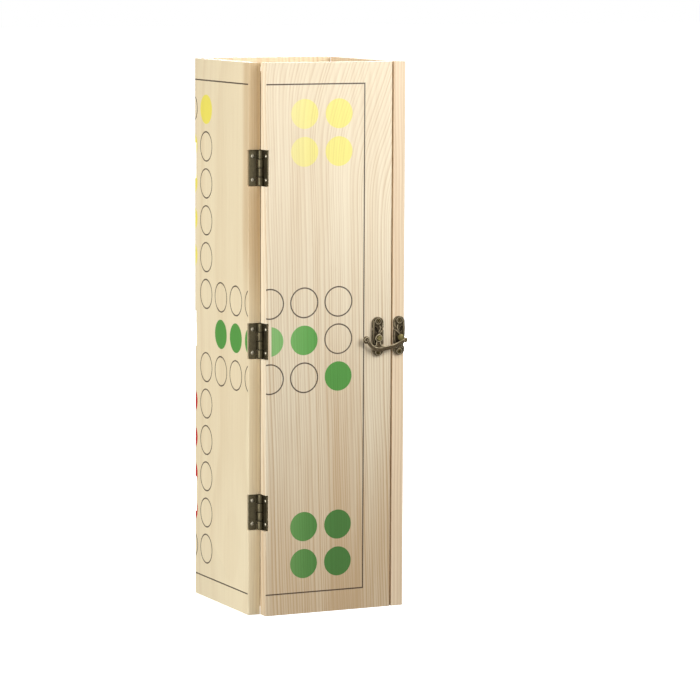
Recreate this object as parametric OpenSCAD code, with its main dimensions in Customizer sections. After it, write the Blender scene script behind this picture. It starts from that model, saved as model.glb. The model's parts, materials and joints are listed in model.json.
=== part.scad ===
// Bottle box of four hinged boards that folds out flat into one square game board.
// X runs along the front, Y from front to back, Z up, in millimetres.
// The pieces are drawn from the outer faces of the left wall (X = 0) and of the front
// wall (Y = 0), and then moved so that the origin is at the middle of the footprint.

/* [Walls] */
// Thickness of the four walls
wall_t = 9; // [8:0.5:12]
// Height of the four walls
wall_h = 388; // [360:1:420]
// Clear width between the left and right walls
inner_w = 98.6; // [95:0.2:110]
// Clear depth between the front and back walls
inner_d = 95.6; // [92:0.2:110]
// Gap between two neighbouring boards when they lie flat
board_gap = 0.3; // [0.2:0.05:0.6]
// Gap between the front wall's free edge and the right wall
free_gap = 1.3; // [0.8:0.1:2]
// Radius of the rounded long edges
edge_r = 1; // [0.5:0.1:1.5]

/* [End boards] */
// Thickness of the top and bottom boards
end_t = 6; // [5:0.5:8]
// Distance from the walls' ends to the end boards
end_inset = 6; // [4:0.5:10]
// Depth of the grooves that hold the end boards
groove_depth = 4.4; // [3:0.1:5]
// Distance from the inner corners to where the grooves stop
groove_stop = 7; // [5:0.5:12]
// Play round a tongue in its groove
groove_play = 0.2; // [0.1:0.05:0.4]
// Distance that a tongue stays short of its groove's bottom
tongue_short = 0.5; // [0.3:0.1:1]

/* [Hinges] */
// Height of a hinge
hinge_h = 25; // [20:1:30]
// Distance of the upper and lower hinges from the middle one
hinge_pitch = 121; // [100:1:130]
// Outer radius of the knuckles
knuckle_r = 2.25; // [1.9:0.05:2.4]
// Radius of the hinge pin
pin_r = 0.9; // [0.7:0.05:1.1]
// Running clearance between the pin and the knuckles
pin_play = 0.05; // [0.03:0.01:0.1]
// Thickness of a leaf
leaf_t = 0.9; // [0.7:0.1:1.2]
// Reach of a leaf from the hinge axis
leaf_reach = 8.05; // [7.5:0.05:8.1]
// Distance of a leaf's back face from the hinge axis
leaf_back = 2.4; // [2.4:0.1:3]
// Height of the two screws of a leaf above and below its middle
screw_rise = 8.3; // [7:0.1:9]

/* [Fasteners] */
// Radius of a hinge screw's shank
screw_r = 0.8; // [0.6:0.1:1]
// Radius of a hinge screw's head
screw_head_r = 1.5; // [1.2:0.1:1.8]
// Height of a hinge screw's head
screw_head_h = 0.8; // [0.5:0.1:0.9]
// Length of a screw or nail in the wood
shank_length = 8; // [5:0.5:8]
// Radius of a latch nail's shank
nail_r = 0.7; // [0.5:0.1:0.9]
// Radius of a latch nail's head
nail_head_r = 1.5; // [1.2:0.1:1.8]
// Height of a latch nail's head
nail_head_h = 0.8; // [0.5:0.1:0.9]

/* [Latch] */
// Height of the latch's middle above the base
latch_z = 194; // [180:1:208]
// Distance of the hook plate's middle from the left wall's outer face
hook_plate_x = 95.4; // [94:0.1:97]
// Half width of a latch plate
plate_half_w = 4.3; // [3.8:0.1:4.4]
// Thickness of a latch plate
plate_t = 1.2; // [1:0.1:1.5]
// Height of a plate's upper nail above the latch's middle
upper_nail = 11.4; // [10:0.1:12]
// Depth of a plate's lower nail below the latch's middle
lower_nail = 10.9; // [10.5:0.1:11.5]
// Radius of the hook rivet
rivet_r = 1; // [0.8:0.1:1.2]
// Middle radius of the hook's arc
hook_arc_r = 19.7; // [19:0.1:20]
// Width of the hook's bar
hook_w = 2.8; // [2.4:0.1:3]
// Thickness of the hook
hook_t = 1.8; // [1.4:0.1:2]
// Radius of the catch knob's stem
knob_r = 1.3; // [1:0.1:1.5]
// Radius of the catch knob's head
knob_head_r = 2.4; // [2:0.1:2.6]
// Height of the heads of the rivet and of the catch knob
head_h = 0.9; // [0.6:0.1:1.2]

/* [Hidden] */
$fn = 48;
// Overlap of joined shapes and overrun of cuts
lap = 1;
// Extra radius of a pilot hole round its shank
pilot_play = 0.02;

wood = "#EAD6B0";
end_wood = "#E3CBA2";
bronze = "#5C5342";
worn_bronze = "#7A705A";

// Outer size of the four walls
overall_w = inner_w + 2 * wall_t;
overall_d = inner_d + 2 * wall_t;
right_inner_x = wall_t + inner_w;
back_inner_y = wall_t + inner_d;

// Hinge axes, just off the inner corners
axis_off = board_gap / 2;
left_axis_x = wall_t + axis_off;
right_axis_x = right_inner_x - axis_off;
front_axis_y = wall_t + axis_off;
back_axis_y = back_inner_y - axis_off;

// Ends of the boards, half a gap off the hinge axes
left_end_x = left_axis_x + axis_off;
right_end_x = right_axis_x - axis_off;
front_end_y = front_axis_y + axis_off;
back_end_y = back_axis_y - axis_off;
free_edge_x = right_inner_x - free_gap;

// Middle height of each hinge
HINGE_Z = [wall_h / 2 + hinge_pitch, wall_h / 2, wall_h / 2 - hinge_pitch];
LEVELS = ["top", "middle", "bottom"];
mortise_play = 0.2;
knuckle_count = 4;
knuckle_gap = 0.15;
leaf_clear = 0.15;
screw_x = (knuckle_r + leaf_clear + leaf_reach) / 2;

// Each corner: name, axis, how the drawn corner is turned, and the wall of each leaf
CORNERS = [
    ["front_left", [left_axis_x, front_axis_y], [1, 1], ["left_leaf", "front_leaf"]],
    ["back_left", [left_axis_x, back_axis_y], [1, -1], ["left_leaf", "back_leaf"]],
    ["back_right", [right_axis_x, back_axis_y], [-1, -1], ["right_leaf", "back_leaf"]]
];

// Latch stations, counted outwards from the front face
hook_back = plate_t + 1.2;
hook_front = hook_back + hook_t;
hook_boss_front = hook_front + 0.2;
head_base = hook_boss_front + 0.1;
latch_proud = head_base + head_h;
rivet_play = 0.05;
rivet_head_r = 1.9;
boss_r = 3;
washer_r = 2.4;

// Hook shape, measured from the rivet
catch_plate_x = overall_w - wall_t / 2;
rivet_x = hook_plate_x - 0.4;
rivet_z = -0.6;
arc_center = [6.1, 11.5];
arc_start = 219;
arc_end = 324.5;
tip_r = 1.2;
thumb_r = 2.1;
knob_at = [catch_plate_x - 0.1, -0.6];

hook_reach = rivet_x + arc_center[0] + hook_arc_r * cos(arc_end) + tip_r;
origin_x = max(hook_reach, overall_w) / 2;
origin_y = (overall_d - latch_proud) / 2;

// ---- Helpers ----

// Moves a piece from the drawing corner to the part's own frame
module framed() {
    translate([-origin_x, -origin_y, 0])
        children();
}

// A block between two opposite corners
module block(low, high) {
    translate(low)
        cube(high - low);
}

// A block whose four upright edges are rounded
module rounded_block(low, high, r) {
    size = high - low;
    translate(low)
        linear_extrude(size[2])
            union() {
                translate([r, 0])
                    square([size[0] - 2 * r, size[1]]);
                translate([0, r])
                    square([size[0], size[1] - 2 * r]);
                for (x = [r, size[0] - r], y = [r, size[1] - r])
                    translate([x, y])
                        circle(r);
            }
}

// A straight round bar along Y between two depths in front of the front face
module rod_out(r, from, to) {
    translate([0, -from, 0])
        rotate([90, 0, 0])
            cylinder(r = r, h = to - from);
}

// A round-topped head standing on the XY plane
module domed_head(r, h) {
    ball_r = (r * r + h * h) / (2 * h);
    intersection() {
        translate([0, 0, h - ball_r])
            sphere(ball_r);
        cylinder(r = r, h = h);
    }
}

// A domed head that stands out of the front face from a given depth
module head_out(r, h, from) {
    translate([0, -from, 0])
        rotate([90, 0, 0])
            domed_head(r, h);
}

// ---- Hinges ----

// Places a hinge at its corner: the first leaf lies to -x of the axis and beyond it in +y,
// the second leaf mirrors it across the diagonal
module at_corner(corner, z) {
    translate([corner[1][0], corner[1][1], z])
        scale_sign(corner[2])
            children();
}

// Mirrors in X, in Y, or in both
module scale_sign(sign) {
    mirror([sign[0] < 0 ? 1 : 0, 0, 0])
        mirror([0, sign[1] < 0 ? 1 : 0, 0])
            children();
}

// Swaps x and y, which turns the first leaf's place into the second leaf's
module across() {
    mirror([1, -1, 0])
        children();
}

// The two screw heights of a leaf
module at_screws() {
    for (z = [-screw_rise, screw_rise])
        translate([-screw_x, leaf_back, z])
            rotate([-90, 0, 0])
                children();
}

// One leaf with every second knuckle, counted from the top
module leaf(first) {
    pitch = hinge_h / knuckle_count;
    mine = [for (i = [first : 2 : knuckle_count - 1]) hinge_h / 2 - (i + 1) * pitch];
    color(bronze)
        difference() {
            union() {
                block([-leaf_reach, leaf_back - leaf_t, -hinge_h / 2],
                      [-knuckle_r - leaf_clear, leaf_back, hinge_h / 2]);
                for (z = mine) {
                    translate([0, 0, z + knuckle_gap / 2])
                        cylinder(r = knuckle_r, h = pitch - knuckle_gap);
                    block([-knuckle_r - lap, leaf_back - leaf_t, z + knuckle_gap / 2],
                          [0, leaf_back - 0.15, z + pitch - knuckle_gap / 2]);
                }
            }
            cylinder(r = pin_r + pin_play, h = hinge_h + 2 * lap, center = true);
            at_screws()
                cylinder(r = screw_r + pin_play, h = 2 * leaf_t + lap, center = true);
        }
}

module hinge_pin() {
    color(worn_bronze)
        cylinder(r = pin_r, h = hinge_h, center = true);
}

// Draws one piece of a hinge: 0 and 1 are its leaves, 2 is its pin
module hinge_piece(corner, z, piece) {
    framed()
        at_corner(corner, z) {
            if (piece == 0)
                leaf(0);
            if (piece == 1)
                across()
                    leaf(1);
            if (piece == 2)
                hinge_pin();
        }
}

module screw() {
    color(worn_bronze)
        union() {
            cylinder(r = screw_r, h = shank_length);
            translate([0, 0, -leaf_t - lap / 4])
                cylinder(r = screw_r, h = leaf_t + lap / 2);
            translate([0, 0, -leaf_t])
                mirror([0, 0, 1])
                    domed_head(screw_head_r, screw_head_h);
        }
}

// The mortises and pilot holes that a corner's hinges need in the first leaf's wall
module hinge_seats() {
    block([-wall_t - lap, -lap, -hinge_h / 2 - mortise_play],
          [lap, leaf_back, hinge_h / 2 + mortise_play]);
    at_screws()
        cylinder(r = screw_r + pilot_play, h = shank_length + 0.3);
}

// Seats in a wall for all the hinges of one corner; side 0 is the first leaf's wall
module corner_seats(corner, side) {
    for (z = HINGE_Z)
        at_corner(corner, z) {
            if (side == 0)
                hinge_seats();
            else
                across()
                    hinge_seats();
        }
}

// Screws of one corner in the wall of the given side
module corner_screws(corner, side) {
    for (z = HINGE_Z)
        at_corner(corner, z) {
            if (side == 0)
                at_screws()
                    screw();
            else
                across()
                    at_screws()
                        screw();
        }
}

// ---- Boards ----

// Lower faces of the end boards
END_Z = [end_inset, wall_h - end_inset - end_t];

// Both grooves of a wall, between two corners given in plan
module grooves(low, high) {
    for (z = END_Z)
        block([low[0], low[1], z - groove_play],
              [high[0], high[1], z + end_t + groove_play]);
}

module left_wall() {
    framed()
        color(wood)
            difference() {
                rounded_block([0, front_end_y, 0], [wall_t, back_end_y, wall_h], edge_r);
                corner_seats(CORNERS[0], 0);
                corner_seats(CORNERS[1], 0);
                grooves([wall_t - groove_depth, wall_t + groove_stop],
                        [wall_t + lap, back_inner_y - groove_stop]);
            }
}

module front_wall() {
    framed()
        color(wood)
            difference() {
                rounded_block([left_end_x, 0, 0], [free_edge_x, wall_t, wall_h], edge_r);
                corner_seats(CORNERS[0], 1);
                grooves([wall_t + groove_stop, wall_t - groove_depth],
                        [free_edge_x + lap, wall_t + lap]);
                at_plate_nails(hook_plate_x)
                    rod_out(nail_r + pilot_play, -shank_length - 0.3, lap);
            }
}

module back_wall() {
    framed()
        color(wood)
            difference() {
                rounded_block([left_end_x, back_inner_y, 0], [right_end_x, overall_d, wall_h], edge_r);
                corner_seats(CORNERS[1], 1);
                corner_seats(CORNERS[2], 1);
                grooves([wall_t + groove_stop, back_inner_y - lap],
                        [right_inner_x - groove_stop, back_inner_y + groove_depth]);
            }
}

module right_wall() {
    framed()
        color(wood)
            difference() {
                rounded_block([right_inner_x, 0, 0], [overall_w, back_end_y, wall_h], edge_r);
                corner_seats(CORNERS[2], 0);
                grooves([right_inner_x - lap, wall_t + groove_stop],
                        [right_inner_x + groove_depth, back_inner_y - groove_stop]);
                at_plate_nails(catch_plate_x)
                    rod_out(nail_r + pilot_play, -shank_length - 0.3, lap);
            }
}

// An end board: a square core with a tongue on each side, short of the corners
module end_board(z) {
    gap = 0.3;
    reach = groove_depth - tongue_short;
    stop = groove_stop + 1;
    framed()
        color(end_wood)
            union() {
                block([wall_t + gap, wall_t + gap, z],
                      [right_inner_x - gap, back_inner_y - gap, z + end_t]);
                block([wall_t - reach, wall_t + stop, z],
                      [right_inner_x + reach, back_inner_y - stop, z + end_t]);
                block([wall_t + stop, wall_t - reach, z],
                      [right_inner_x - stop, back_inner_y + reach, z + end_t]);
            }
}

module top_board() {
    end_board(END_Z[1]);
}

module bottom_board() {
    end_board(END_Z[0]);
}

// ---- Screws in their walls ----

module left_wall_screws() {
    framed() {
        corner_screws(CORNERS[0], 0);
        corner_screws(CORNERS[1], 0);
    }
}

module front_wall_screws() {
    framed()
        corner_screws(CORNERS[0], 1);
}

module back_wall_screws() {
    framed() {
        corner_screws(CORNERS[1], 1);
        corner_screws(CORNERS[2], 1);
    }
}

module right_wall_screws() {
    framed()
        corner_screws(CORNERS[2], 0);
}

// ---- Latch ----

// The two nail places of a latch plate
module at_plate_nails(x) {
    for (z = [upper_nail, -lower_nail])
        translate([x, 0, latch_z + z])
            children();
}

// Outline of a latch plate: a rounded head, notched sides, a neck and a round foot
module plate_outline() {
    difference() {
        union() {
            translate([0, 10])
                circle(plate_half_w);
            translate([-plate_half_w, -6])
                square([2 * plate_half_w, 16]);
            translate([-3, -9.2])
                square([6, 5]);
            translate([0, -9.2])
                circle(plate_half_w);
        }
        for (x = [-plate_half_w - 0.3, plate_half_w + 0.3])
            translate([x, 6])
                circle(1);
        for (x = [-plate_half_w - 0.2, plate_half_w + 0.2])
            translate([x, -6])
                circle(1.1);
    }
}

// A latch plate with its nail holes, standing on the front face
module latch_plate(x) {
    difference() {
        translate([x, 0, latch_z])
            rotate([90, 0, 0])
                linear_extrude(plate_t)
                    plate_outline();
        at_plate_nails(x)
            rod_out(nail_r + pilot_play, -lap, plate_t + lap);
    }
}

module hook_plate() {
    framed()
        color(bronze)
            difference() {
                union() {
                    latch_plate(hook_plate_x);
                    translate([rivet_x, 0, latch_z + rivet_z])
                        rod_out(washer_r, plate_t - lap / 2, hook_back - 0.1);
                }
                translate([rivet_x, 0, latch_z + rivet_z])
                    rod_out(rivet_r + pilot_play, -lap, hook_back + lap);
            }
}

// The hook: a boss on the rivet, a stem down to the bar, the curved bar and a thumb end
module latch_hook() {
    framed()
        translate([rivet_x, 0, latch_z + rivet_z])
            color(worn_bronze)
                difference() {
                    union() {
                        rod_out(boss_r, hook_back, hook_boss_front);
                        block([-2, -hook_front, -7], [2, -hook_back, 0]);
                        translate([arc_center[0], -hook_back, arc_center[1]])
                            rotate([90, 0, 0])
                                rotate([0, 0, arc_start])
                                    rotate_extrude(angle = arc_end - arc_start)
                                        translate([hook_arc_r - hook_w / 2, 0])
                                            square([hook_w, hook_t]);
                        at_arc(arc_start)
                            rod_out(thumb_r, hook_back, hook_front);
                        at_arc(arc_end)
                            rod_out(tip_r, hook_back, hook_front);
                    }
                    rod_out(rivet_r + rivet_play, 0, head_base + lap);
                }
}

// A point on the middle line of the hook's bar
module at_arc(angle) {
    translate([arc_center[0] + hook_arc_r * cos(angle), 0, arc_center[1] + hook_arc_r * sin(angle)])
        children();
}

module hook_rivet() {
    framed()
        translate([rivet_x, 0, latch_z + rivet_z])
            color(worn_bronze)
                union() {
                    rod_out(rivet_r, 0, head_base + head_h / 4);
                    head_out(rivet_head_r, head_h, head_base);
                }
}

module catch_plate() {
    framed()
        color(bronze)
            difference() {
                latch_plate(catch_plate_x);
                translate([knob_at[0], 0, latch_z + knob_at[1]])
                    rod_out(knob_r + pilot_play, -lap, plate_t + lap);
            }
}

module catch_knob() {
    framed()
        translate([knob_at[0], 0, latch_z + knob_at[1]])
            color(worn_bronze)
                union() {
                    rod_out(knob_r, 0, head_base + head_h / 4);
                    head_out(knob_head_r, head_h, head_base);
                }
}

module plate_nails(x) {
    framed()
        color(worn_bronze)
            at_plate_nails(x)
                union() {
                    rod_out(nail_r, -shank_length, plate_t + nail_head_h / 4);
                    head_out(nail_head_r, nail_head_h, plate_t);
                }
}

module hook_plate_nails() {
    plate_nails(hook_plate_x);
}

module catch_plate_nails() {
    plate_nails(catch_plate_x);
}

// ---- The pieces ----

left_wall();
front_wall();
back_wall();
right_wall();
top_board();
bottom_board();
for (corner = CORNERS, level = [0 : 2], piece = [0 : 2])
    let (part = piece < 2 ? corner[3][piece] : "pin")
        hinge_piece(corner, HINGE_Z[level], piece);
left_wall_screws();
front_wall_screws();
back_wall_screws();
right_wall_screws();
hook_plate();
latch_hook();
hook_rivet();
catch_plate();
catch_knob();
hook_plate_nails();
catch_plate_nails();
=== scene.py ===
"""Bottle box of four hinged, printed pine boards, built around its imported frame."""

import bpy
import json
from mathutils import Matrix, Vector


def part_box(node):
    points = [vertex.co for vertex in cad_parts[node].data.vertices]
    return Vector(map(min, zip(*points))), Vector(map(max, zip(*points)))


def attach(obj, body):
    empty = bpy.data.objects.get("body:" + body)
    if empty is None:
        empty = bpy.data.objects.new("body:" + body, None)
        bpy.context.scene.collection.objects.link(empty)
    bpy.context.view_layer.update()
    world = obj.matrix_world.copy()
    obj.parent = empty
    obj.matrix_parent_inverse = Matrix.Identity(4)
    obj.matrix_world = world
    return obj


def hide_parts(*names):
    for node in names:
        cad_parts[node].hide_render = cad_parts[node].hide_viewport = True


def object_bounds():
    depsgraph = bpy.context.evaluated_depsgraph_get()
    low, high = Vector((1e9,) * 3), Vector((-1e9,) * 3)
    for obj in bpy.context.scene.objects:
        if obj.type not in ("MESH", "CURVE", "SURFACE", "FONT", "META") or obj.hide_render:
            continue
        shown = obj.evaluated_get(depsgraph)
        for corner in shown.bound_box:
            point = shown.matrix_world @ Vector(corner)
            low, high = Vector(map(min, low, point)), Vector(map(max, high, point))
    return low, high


bl_info = {
    "name": "Folding Board Bottle Box",
    "version": (1, 0, 0),
    "blender": (4, 5, 0),
    "location": "3D View > Sidebar > Bottle Box",
    "description": "Builds the boards, hinges and latch of a bottle box that opens into a board",
    "category": "Add Mesh",
}

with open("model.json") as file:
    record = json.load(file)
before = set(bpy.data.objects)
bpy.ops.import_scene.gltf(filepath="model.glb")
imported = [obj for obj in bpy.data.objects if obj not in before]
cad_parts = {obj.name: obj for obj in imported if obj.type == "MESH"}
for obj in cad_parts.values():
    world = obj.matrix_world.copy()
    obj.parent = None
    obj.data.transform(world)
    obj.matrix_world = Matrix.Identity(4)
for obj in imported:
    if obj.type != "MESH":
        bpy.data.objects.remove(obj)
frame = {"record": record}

import json
import math
from contextlib import contextmanager
from functools import partialmethod
from types import SimpleNamespace

import bmesh
import bpy
from bpy.props import FloatProperty, FloatVectorProperty, IntProperty, PointerProperty
from mathutils import Matrix, Vector

MM = 0.001
CAD_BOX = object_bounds()
MIDDLE_Z = (CAD_BOX[0].z + CAD_BOX[1].z) / 2

LEVELS = ("top", "middle", "bottom")
# Each corner: the walls of its first and second leaf, and how its hinge is mirrored in X and Y
CORNERS = {
    "front_left": ("left", "front", (1, 1)),
    "back_left": ("left", "back", (1, -1)),
    "back_right": ("right", "back", (-1, -1)),
}


def hinge_axis(corner, level="middle"):
    """The middle of a hinge's pin."""
    low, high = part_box(f"{corner}_{level}_pin")
    return (low + high) / 2


def hinge_sides():
    """Every hinge leaf: its corner, its level, its wall, and whether it is the second leaf."""
    for corner, (first, second, _) in CORNERS.items():
        for level in LEVELS:
            yield corner, level, first, False
            yield corner, level, second, True


def corner_matrix(corner, level, second=False):
    """Moves a piece drawn at the origin to its corner; the second leaf is mirrored across."""
    signs = CORNERS[corner][2]
    place = Matrix.Translation(hinge_axis(corner, level))
    turn = Matrix.Diagonal((*signs, 1, 1))
    across = Matrix(((0, 1, 0, 0), (1, 0, 0, 0), (0, 0, 1, 0), (0, 0, 0, 1)))
    return place @ turn @ across if second else place @ turn


# ---- Settings -----------------------------------------------------------------------


def length(name, text, default):
    """A size in metres that a user can change."""
    return FloatProperty(name=name, description=text, default=default, unit="LENGTH", precision=5)


def colour(name, text, default):
    """A colour that a user can change."""
    return FloatVectorProperty(
        name=name, description=text, default=default, size=3, min=0, max=1, subtype="COLOR"
    )


class BoardSettings(bpy.types.PropertyGroup):
    edge_radius: length("Edge radius", "Radius of a board's long outer edges", 0.5 * MM)
    arris: length("Arris", "Width of the sanded arris on every other edge", 0.12 * MM)
    groove_depth: length("Groove depth", "Depth of the grooves for the end boards", 4.4 * MM)
    groove_play: length("Groove play", "Play above and below a tongue in its groove", 0.2 * MM)
    seat_play: length("Seat play", "Play above and below a hinge in its mortise", 0.2 * MM)
    ring_spacing: length("Ring spacing", "Usual distance between two growth rings", 2.0 * MM)
    early: colour("Early wood", "Colour of the pale wood between the rings", (0.88, 0.755, 0.545))
    late: colour("Late wood", "Colour of the darker wood of a ring", (0.60, 0.41, 0.225))


class PrintSettings(bpy.types.PropertyGroup):
    pitch: length("Pitch", "Distance between two places of the printed grid", 26.4 * MM)
    circle: length("Circle", "Radius of an open place, at the middle of its line", 10.38 * MM)
    disc: length("Disc", "Radius of a coloured place", 10.43 * MM)
    line: length("Line", "Width of the printed lines", 0.95 * MM)
    border: length("Border", "Distance of the border line from the middle", 179.0 * MM)
    front_border: length("Front border", "Distance of the front wall's upright line", 178.2 * MM)
    hinge_margin: length("Hinge margin", "Bare margin beside the front wall's hinge", 4.1 * MM)
    ink: colour("Ink", "Colour of the printed lines", (0.030, 0.012, 0.004))
    # The yellow is as pale as the front wall's sheen shows it, a painted sheen that the left and back
    # walls deepen
    yellow: colour("Yellow", "Colour of the yellow places", (0.98, 0.95, 0.31))
    green: colour("Green", "Colour of the green places", (0.068, 0.36, 0.05))
    red: colour("Red", "Colour of the red places", (0.62, 0.014, 0.02))
    blue: colour("Blue", "Colour of the blue places", (0.03, 0.11, 0.42))


class MetalSettings(bpy.types.PropertyGroup):
    bronze: colour("Bronze", "Colour of the aged metal", (0.118, 0.093, 0.050))
    worn: colour("Worn metal", "Colour of the rubbed edges", (0.43, 0.36, 0.235))
    grime: colour("Grime", "Colour of the dirt in hollows", (0.030, 0.022, 0.014))
    knuckle_sides: IntProperty(name="Knuckle sides", description="Faces round a knuckle", default=40)
    edge_round: length("Edge rounding", "Rounding of the stamped metal's edges", 0.12 * MM)


class StageSettings(bpy.types.PropertyGroup):
    camera_place: FloatVectorProperty(
        name="Camera", description="Place of the camera", unit="LENGTH", subtype="XYZ",
        default=(-1.04289, -2.27102, 0.47387),
    )
    camera_turn: FloatVectorProperty(
        name="Camera angles", description="Yaw to the right, pitch down and roll", unit="ROTATION",
        default=(math.radians(25.510), math.radians(6.694), math.radians(0.2488)),
    )
    focal: FloatProperty(name="Lens", description="Focal length on a 36 mm sensor", default=180.52)
    ambient: FloatProperty(name="Ambient", description="Soft light from all round", default=0.285)
    key: FloatProperty(name="Key light", description="Power of the high front light", default=4.9)
    fill: FloatProperty(name="Fill light", description="Power of the broad left light", default=33.5)
    back: FloatProperty(name="Back light", description="Power of the soft light behind", default=34.0)


class BottleBoxSettings(bpy.types.PropertyGroup):
    boards: PointerProperty(type=BoardSettings)
    pattern: PointerProperty(type=PrintSettings)
    metal: PointerProperty(type=MetalSettings)
    stage: PointerProperty(type=StageSettings)


def settings():
    return bpy.context.scene.bottle_box


# ---- Modelling helpers --------------------------------------------------------------


def only(*pieces):
    """Selects these pieces and nothing else, with the last one active."""
    bpy.ops.object.select_all(action="DESELECT")
    for piece in pieces:
        piece.select_set(True)
        bpy.context.view_layer.objects.active = piece


def settle(piece):
    """Applies a piece's place, turn and scale to its mesh."""
    only(piece)
    bpy.ops.object.transform_apply(location=True, rotation=True, scale=True)
    return piece


def added():
    """The primitive that was just added, settled."""
    return settle(bpy.context.active_object)


@contextmanager
def editing(piece, kind="FACE"):
    """Opens a piece in edit mode, selected all over."""
    only(piece)
    bpy.ops.object.mode_set(mode="EDIT")
    bpy.ops.mesh.select_mode(type=kind)
    bpy.ops.mesh.select_all(action="SELECT")
    yield
    bpy.ops.object.mode_set(mode="OBJECT")


def run_of(edge):
    """How far an edge runs in X, Y and Z."""
    start, end = (vertex.co for vertex in edge.verts)
    return Vector(map(abs, end - start))


def bevel_edges(piece, width, segments, test):
    """Rounds the edges that pass a test."""
    with editing(piece, "EDGE"):
        bpy.ops.mesh.select_all(action="DESELECT")
        mesh = bmesh.from_edit_mesh(piece.data)
        for edge in filter(test, mesh.edges):
            edge.select_set(True)
        mesh.select_flush_mode()
        bmesh.update_edit_mesh(piece.data)
        bpy.ops.mesh.bevel(offset=width, segments=segments, affect="EDGES")


def turn_outwards(piece):
    """Points every face of a closed piece outwards."""
    with editing(piece):
        bpy.ops.mesh.normals_make_consistent(inside=False)
    return piece


def shade(piece, degrees):
    """Shades a piece smoothly, apart from edges sharper than an angle."""
    only(piece)
    bpy.ops.object.shade_smooth_by_angle(angle=math.radians(degrees))
    return piece


def add_block(start, end):
    """A block between two opposite corners."""
    only()
    low, high = Vector(map(min, start, end)), Vector(map(max, start, end))
    bpy.ops.mesh.primitive_cube_add(size=1, location=(low + high) / 2, scale=high - low)
    return added()


def add_rod(start, end, radius, sides):
    """A round rod between two points."""
    only()
    start, end = Vector(start), Vector(end)
    turn = (end - start).to_track_quat("Z", "Y").to_euler()
    bpy.ops.mesh.primitive_cylinder_add(
        vertices=sides, radius=radius, depth=(end - start).length,
        location=(start + end) / 2, rotation=turn,
    )
    return added()


def join(pieces):
    """Joins pieces into one object."""
    only(*pieces)
    bpy.ops.object.join()
    return bpy.context.active_object


def apply_modifier(piece, kind, **values):
    """Adds one modifier to a piece and applies it."""
    modifier = piece.modifiers.new(kind.title(), kind)
    for key, value in values.items():
        setattr(modifier, key, value)
    only(piece)
    bpy.ops.object.modifier_apply(modifier=modifier.name)
    return piece


def combine(piece, tool, operation="DIFFERENCE"):
    """Cuts a tool out of a piece, or adds it, and removes the tool."""
    apply_modifier(piece, "BOOLEAN", operation=operation, solver="EXACT", object=tool)
    bpy.data.objects.remove(tool)
    return piece


def soften(board):
    """Sands every sharp edge of a board and shades the board smoothly."""
    only(board)
    bpy.ops.object.shade_smooth()
    return apply_modifier(
        board, "BEVEL", width=settings().boards.arris, segments=2, limit_method="ANGLE",
        angle_limit=math.radians(32), harden_normals=True,
    )


def spin_profile(profile, steps, axis=(0, 1, 0)):
    """Turns an open profile, whose ends lie on an axis through the origin, into a closed shell.

    The profile's points are (distance from the axis, distance along it).
    """
    points = [Vector((out, 0, 0)) + along * Vector(axis) for out, along in profile]
    only()
    bpy.ops.mesh.primitive_plane_add(size=1 * MM, location=points[0])
    piece = bpy.context.active_object
    with editing(piece, "VERT"):
        bpy.ops.mesh.merge(type="CENTER")
        for start, end in zip(points, points[1:]):
            bpy.ops.mesh.extrude_vertices_move(TRANSFORM_OT_translate={"value": end - start})
        bpy.ops.mesh.select_all(action="SELECT")
        bpy.ops.mesh.spin(steps=steps, angle=math.tau, center=(0, 0, 0), axis=axis)
        bpy.ops.mesh.select_all(action="SELECT")
        bpy.ops.mesh.remove_doubles(threshold=0.002 * MM)
        bpy.ops.mesh.normals_make_consistent(inside=False)
    return added()


def place_copy(master, matrix):
    """A copy of a master piece, with its own mesh, placed by a matrix that may mirror it."""
    only(master)
    bpy.ops.object.duplicate(linked=False)
    piece = bpy.context.active_object
    piece.matrix_world = matrix
    return turn_outwards(settle(piece))


def finish_piece(piece, name, body, node, material):
    """Gives a piece its name, its body and its material, and hides the CAD node that it stands for.
    """
    piece.name = name
    piece.data.name = name
    piece.data.materials.clear()
    piece.data.materials.append(material)
    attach(piece, body)
    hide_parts(node)


# ---- Material helpers ---------------------------------------------------------------


class Field:
    """A value that varies over a surface. Arithmetic on it adds Math nodes to its tree."""

    def __init__(self, tree, socket):
        self.tree = tree
        self.socket = socket

    def math(self, operation, *others):
        node = add_node(self.tree, "Math", {"operation": operation})
        for socket, value in zip(node.inputs, (self, *others)):
            feed(self.tree, socket, value)
        return Field(self.tree, node.outputs[0])

    __add__ = __radd__ = partialmethod(math, "ADD")
    __sub__ = partialmethod(math, "SUBTRACT")
    __mul__ = partialmethod(math, "MULTIPLY")
    __truediv__ = partialmethod(math, "DIVIDE")
    __lt__ = partialmethod(math, "LESS_THAN")
    __gt__ = partialmethod(math, "GREATER_THAN")
    __abs__ = partialmethod(math, "ABSOLUTE")
    either = partialmethod(math, "MAXIMUM")
    both = partialmethod(math, "MINIMUM")

    def __rsub__(self, other):
        return self * -1.0 + other

    def near(self, value, width=0.5):
        """1 where the field lies within a width of a value."""
        return abs(self - value) < width

    def ramp(self, low, high, to_low=0.0, to_high=1.0, kind="SMOOTHSTEP"):
        """Maps low..high to to_low..to_high, held at both ends."""
        node = add_node(
            self.tree, "MapRange", {"interpolation_type": kind}, Value=self, From_Min=low,
            From_Max=high, To_Min=to_low, To_Max=to_high,
        )
        return Field(self.tree, node.outputs[0])


def feed(tree, socket, value):
    """Links a field or a socket to a socket, or sets the socket's own value."""
    if isinstance(value, Field):
        value = value.socket
    if isinstance(value, bpy.types.NodeSocket):
        tree.links.new(value, socket)
    else:
        socket.default_value = value


def fill(tree, node, **inputs):
    """Feeds a node's inputs. An input's name has _ for a space."""
    for label, value in inputs.items():
        feed(tree, node.inputs[label.replace("_", " ")], value)
    return node


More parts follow.
